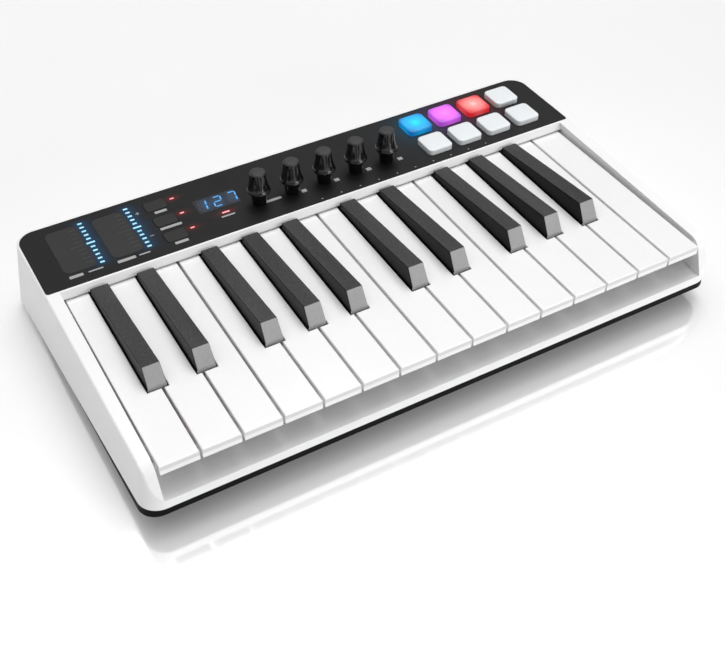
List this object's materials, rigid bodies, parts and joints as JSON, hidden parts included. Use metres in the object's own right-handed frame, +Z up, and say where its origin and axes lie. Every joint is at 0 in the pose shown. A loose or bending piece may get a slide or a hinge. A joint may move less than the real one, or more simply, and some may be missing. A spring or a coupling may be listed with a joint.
{
  "type": "midi keyboard",
  "caption": "Portable musical controller keyboard with a wedge case, sprung piano keys, touch strips, display, knobs and lit pads.",
  "frame": {"origin": "on the table under the centre of the case", "axes": "+X to the player's right along the keys, +Y away from the player to the back, +Z up"},
  "size_m": [0.3834, 0.217, 0.0749],
  "materials": {
    "top_case": "satin",
    "bottom_tray": "matt",
    "control_panel": "satin",
    "touch_strips": "satin",
    "display_window": "gloss",
    "display_module": "matt",
    "indicator_leds": "lit",
    "keybed_frame": "matt",
    "pivot_rod": "ground",
    "key_springs": "rolled",
    "stop_felts": "felt",
    "dome_strip": "matt",
    "circuit_boards": "solder mask",
    "rotary_encoders": "satin",
    "rear_jacks": "matt",
    "rubber_feet": "matt",
    "case_screws": "blackened",
    "white_keys": "gloss",
    "black_keys": "fine grain",
    "knobs": "gloss with a rough cap",
    "buttons": "matt",
    "pad_blue": "lit",
    "pad_magenta": "lit",
    "pad_red": "lit",
    "pad_plain": "translucent"
  },
  "bodies": {
    "chassis": {"top_case": "top_case", "bottom_tray": "bottom_tray", "control_panel": "control_panel", "touch_strips": "touch_strips", "display_window": "display_window", "display_module": "display_module", "indicator_leds": "indicator_leds", "keybed_frame": "keybed_frame", "pivot_rod": "pivot_rod", "key_springs": "key_springs", "stop_felts": "stop_felts", "sensor_board": "circuit_boards", "dome_strip": "dome_strip", "control_board": "circuit_boards", "rotary_encoders": "rotary_encoders", "main_board": "circuit_boards", "rear_jacks": "rear_jacks", "rubber_feet": "rubber_feet", "case_screws": "case_screws"},
    "white_key_01": {"white_key_01": "white_keys"},
    "white_key_02": {"white_key_02": "white_keys"},
    "white_key_03": {"white_key_03": "white_keys"},
    "white_key_04": {"white_key_04": "white_keys"},
    "white_key_05": {"white_key_05": "white_keys"},
    "white_key_06": {"white_key_06": "white_keys"},
    "white_key_07": {"white_key_07": "white_keys"},
    "white_key_08": {"white_key_08": "white_keys"},
    "white_key_09": {"white_key_09": "white_keys"},
    "white_key_10": {"white_key_10": "white_keys"},
    "white_key_11": {"white_key_11": "white_keys"},
    "white_key_12": {"white_key_12": "white_keys"},
    "white_key_13": {"white_key_13": "white_keys"},
    "white_key_14": {"white_key_14": "white_keys"},
    "white_key_15": {"white_key_15": "white_keys"},
    "black_key_01": {"black_key_01": "black_keys"},
    "black_key_02": {"black_key_02": "black_keys"},
    "black_key_03": {"black_key_03": "black_keys"},
    "black_key_04": {"black_key_04": "black_keys"},
    "black_key_05": {"black_key_05": "black_keys"},
    "black_key_06": {"black_key_06": "black_keys"},
    "black_key_07": {"black_key_07": "black_keys"},
    "black_key_08": {"black_key_08": "black_keys"},
    "black_key_09": {"black_key_09": "black_keys"},
    "black_key_10": {"black_key_10": "black_keys"},
    "knob_1": {"knob_1": "knobs"},
    "knob_2": {"knob_2": "knobs"},
    "knob_3": {"knob_3": "knobs"},
    "knob_4": {"knob_4": "knobs"},
    "knob_5": {"knob_5": "knobs"},
    "pad_1": {"pad_1": "pad_blue"},
    "pad_2": {"pad_2": "pad_magenta"},
    "pad_3": {"pad_3": "pad_red"},
    "pad_4": {"pad_4": "pad_plain"},
    "pad_5": {"pad_5": "pad_plain"},
    "pad_6": {"pad_6": "pad_plain"},
    "pad_7": {"pad_7": "pad_plain"},
    "pad_8": {"pad_8": "pad_plain"},
    "button_1": {"button_1": "buttons"},
    "button_2": {"button_2": "buttons"},
    "button_3": {"button_3": "buttons"}
  },
  "joints": [
    {"name": "white_key_01_press", "type": "hinge", "parent": "chassis", "child": "white_key_01", "pos_m": [0, 0.0895, 0.0375], "axis": [1, 0, 0], "range_deg": [0, 3], "stiffness_Nm_per_rad": 0.5, "springref_deg": -14.32},
    {"name": "white_key_02_press", "type": "hinge", "parent": "chassis", "child": "white_key_02", "pos_m": [0, 0.0895, 0.0375], "axis": [1, 0, 0], "range_deg": [0, 3], "stiffness_Nm_per_rad": 0.5, "springref_deg": -14.32},
    {"name": "white_key_03_press", "type": "hinge", "parent": "chassis", "child": "white_key_03", "pos_m": [0, 0.0895, 0.0375], "axis": [1, 0, 0], "range_deg": [0, 3], "stiffness_Nm_per_rad": 0.5, "springref_deg": -14.32},
    {"name": "white_key_04_press", "type": "hinge", "parent": "chassis", "child": "white_key_04", "pos_m": [0, 0.0895, 0.0375], "axis": [1, 0, 0], "range_deg": [0, 3], "stiffness_Nm_per_rad": 0.5, "springref_deg": -14.32},
    {"name": "white_key_05_press", "type": "hinge", "parent": "chassis", "child": "white_key_05", "pos_m": [0, 0.0895, 0.0375], "axis": [1, 0, 0], "range_deg": [0, 3], "stiffness_Nm_per_rad": 0.5, "springref_deg": -14.32},
    {"name": "white_key_06_press", "type": "hinge", "parent": "chassis", "child": "white_key_06", "pos_m": [0, 0.0895, 0.0375], "axis": [1, 0, 0], "range_deg": [0, 3], "stiffness_Nm_per_rad": 0.5, "springref_deg": -14.32},
    {"name": "white_key_07_press", "type": "hinge", "parent": "chassis", "child": "white_key_07", "pos_m": [0, 0.0895, 0.0375], "axis": [1, 0, 0], "range_deg": [0, 3], "stiffness_Nm_per_rad": 0.5, "springref_deg": -14.32},
    {"name": "white_key_08_press", "type": "hinge", "parent": "chassis", "child": "white_key_08", "pos_m": [0, 0.0895, 0.0375], "axis": [1, 0, 0], "range_deg": [0, 3], "stiffness_Nm_per_rad": 0.5, "springref_deg": -14.32},
    {"name": "white_key_09_press", "type": "hinge", "parent": "chassis", "child": "white_key_09", "pos_m": [0, 0.0895, 0.0375], "axis": [1, 0, 0], "range_deg": [0, 3], "stiffness_Nm_per_rad": 0.5, "springref_deg": -14.32},
    {"name": "white_key_10_press", "type": "hinge", "parent": "chassis", "child": "white_key_10", "pos_m": [0, 0.0895, 0.0375], "axis": [1, 0, 0], "range_deg": [0, 3], "stiffness_Nm_per_rad": 0.5, "springref_deg": -14.32},
    {"name": "white_key_11_press", "type": "hinge", "parent": "chassis", "child": "white_key_11", "pos_m": [0, 0.0895, 0.0375], "axis": [1, 0, 0], "range_deg": [0, 3], "stiffness_Nm_per_rad": 0.5, "springref_deg": -14.32},
    {"name": "white_key_12_press", "type": "hinge", "parent": "chassis", "child": "white_key_12", "pos_m": [0, 0.0895, 0.0375], "axis": [1, 0, 0], "range_deg": [0, 3], "stiffness_Nm_per_rad": 0.5, "springref_deg": -14.32},
    {"name": "white_key_13_press", "type": "hinge", "parent": "chassis", "child": "white_key_13", "pos_m": [0, 0.0895, 0.0375], "axis": [1, 0, 0], "range_deg": [0, 3], "stiffness_Nm_per_rad": 0.5, "springref_deg": -14.32},
    {"name": "white_key_14_press", "type": "hinge", "parent": "chassis", "child": "white_key_14", "pos_m": [0, 0.0895, 0.0375], "axis": [1, 0, 0], "range_deg": [0, 3], "stiffness_Nm_per_rad": 0.5, "springref_deg": -14.32},
    {"name": "white_key_15_press", "type": "hinge", "parent": "chassis", "child": "white_key_15", "pos_m": [0, 0.0895, 0.0375], "axis": [1, 0, 0], "range_deg": [0, 3], "stiffness_Nm_per_rad": 0.5, "springref_deg": -14.32},
    {"name": "black_key_01_press", "type": "hinge", "parent": "chassis", "child": "black_key_01", "pos_m": [0, 0.0895, 0.0375], "axis": [1, 0, 0], "range_deg": [0, 3], "stiffness_Nm_per_rad": 0.5, "springref_deg": -14.32},
    {"name": "black_key_02_press", "type": "hinge", "parent": "chassis", "child": "black_key_02", "pos_m": [0, 0.0895, 0.0375], "axis": [1, 0, 0], "range_deg": [0, 3], "stiffness_Nm_per_rad": 0.5, "springref_deg": -14.32},
    {"name": "black_key_03_press", "type": "hinge", "parent": "chassis", "child": "black_key_03", "pos_m": [0, 0.0895, 0.0375], "axis": [1, 0, 0], "range_deg": [0, 3], "stiffness_Nm_per_rad": 0.5, "springref_deg": -14.32},
    {"name": "black_key_04_press", "type": "hinge", "parent": "chassis", "child": "black_key_04", "pos_m": [0, 0.0895, 0.0375], "axis": [1, 0, 0], "range_deg": [0, 3], "stiffness_Nm_per_rad": 0.5, "springref_deg": -14.32},
    {"name": "black_key_05_press", "type": "hinge", "parent": "chassis", "child": "black_key_05", "pos_m": [0, 0.0895, 0.0375], "axis": [1, 0, 0], "range_deg": [0, 3], "stiffness_Nm_per_rad": 0.5, "springref_deg": -14.32},
    {"name": "black_key_06_press", "type": "hinge", "parent": "chassis", "child": "black_key_06", "pos_m": [0, 0.0895, 0.0375], "axis": [1, 0, 0], "range_deg": [0, 3], "stiffness_Nm_per_rad": 0.5, "springref_deg": -14.32},
    {"name": "black_key_07_press", "type": "hinge", "parent": "chassis", "child": "black_key_07", "pos_m": [0, 0.0895, 0.0375], "axis": [1, 0, 0], "range_deg": [0, 3], "stiffness_Nm_per_rad": 0.5, "springref_deg": -14.32},
    {"name": "black_key_08_press", "type": "hinge", "parent": "chassis", "child": "black_key_08", "pos_m": [0, 0.0895, 0.0375], "axis": [1, 0, 0], "range_deg": [0, 3], "stiffness_Nm_per_rad": 0.5, "springref_deg": -14.32},
    {"name": "black_key_09_press", "type": "hinge", "parent": "chassis", "child": "black_key_09", "pos_m": [0, 0.0895, 0.0375], "axis": [1, 0, 0], "range_deg": [0, 3], "stiffness_Nm_per_rad": 0.5, "springref_deg": -14.32},
    {"name": "black_key_10_press", "type": "hinge", "parent": "chassis", "child": "black_key_10", "pos_m": [0, 0.0895, 0.0375], "axis": [1, 0, 0], "range_deg": [0, 3], "stiffness_Nm_per_rad": 0.5, "springref_deg": -14.32},
    {"name": "knob_1_turn", "type": "hinge", "parent": "chassis", "child": "knob_1", "pos_m": [-0.04065, 0.0599, 0.06], "axis": [0, 0, 1], "continuous": true},
    {"name": "knob_2_turn", "type": "hinge", "parent": "chassis", "child": "knob_2", "pos_m": [-0.01765, 0.0599, 0.06], "axis": [0, 0, 1], "continuous": true},
    {"name": "knob_3_turn", "type": "hinge", "parent": "chassis", "child": "knob_3", "pos_m": [0.00535, 0.0599, 0.06], "axis": [0, 0, 1], "continuous": true},
    {"name": "knob_4_turn", "type": "hinge", "parent": "chassis", "child": "knob_4", "pos_m": [0.02835, 0.0599, 0.06], "axis": [0, 0, 1], "continuous": true},
    {"name": "knob_5_turn", "type": "hinge", "parent": "chassis", "child": "knob_5", "pos_m": [0.05135, 0.0599, 0.06], "axis": [0, 0, 1], "continuous": true},
    {"name": "pad_1_press", "type": "slide", "parent": "chassis", "child": "pad_1", "axis": [0, 0, -1], "range_m": [0, 0.0008], "stiffness_N_per_m": 2500, "springref_m": -0.0004},
    {"name": "pad_2_press", "type": "slide", "parent": "chassis", "child": "pad_2", "axis": [0, 0, -1], "range_m": [0, 0.0008], "stiffness_N_per_m": 2500, "springref_m": -0.0004},
    {"name": "pad_3_press", "type": "slide", "parent": "chassis", "child": "pad_3", "axis": [0, 0, -1], "range_m": [0, 0.0008], "stiffness_N_per_m": 2500, "springref_m": -0.0004},
    {"name": "pad_4_press", "type": "slide", "parent": "chassis", "child": "pad_4", "axis": [0, 0, -1], "range_m": [0, 0.0008], "stiffness_N_per_m": 2500, "springref_m": -0.0004},
    {"name": "pad_5_press", "type": "slide", "parent": "chassis", "child": "pad_5", "axis": [0, 0, -1], "range_m": [0, 0.0008], "stiffness_N_per_m": 2500, "springref_m": -0.0004},
    {"name": "pad_6_press", "type": "slide", "parent": "chassis", "child": "pad_6", "axis": [0, 0, -1], "range_m": [0, 0.0008], "stiffness_N_per_m": 2500, "springref_m": -0.0004},
    {"name": "pad_7_press", "type": "slide", "parent": "chassis", "child": "pad_7", "axis": [0, 0, -1], "range_m": [0, 0.0008], "stiffness_N_per_m": 2500, "springref_m": -0.0004},
    {"name": "pad_8_press", "type": "slide", "parent": "chassis", "child": "pad_8", "axis": [0, 0, -1], "range_m": [0, 0.0008], "stiffness_N_per_m": 2500, "springref_m": -0.0004},
    {"name": "button_1_press", "type": "slide", "parent": "chassis", "child": "button_1", "axis": [0, 0, -1], "range_m": [0, 0.0005], "stiffness_N_per_m": 2000, "springref_m": -0.0004},
    {"name": "button_2_press", "type": "slide", "parent": "chassis", "child": "button_2", "axis": [0, 0, -1], "range_m": [0, 0.0005], "stiffness_N_per_m": 2000, "springref_m": -0.0004},
    {"name": "button_3_press", "type": "slide", "parent": "chassis", "child": "button_3", "axis": [0, 0, -1], "range_m": [0, 0.0005], "stiffness_N_per_m": 2000, "springref_m": -0.0004}
  ]
}
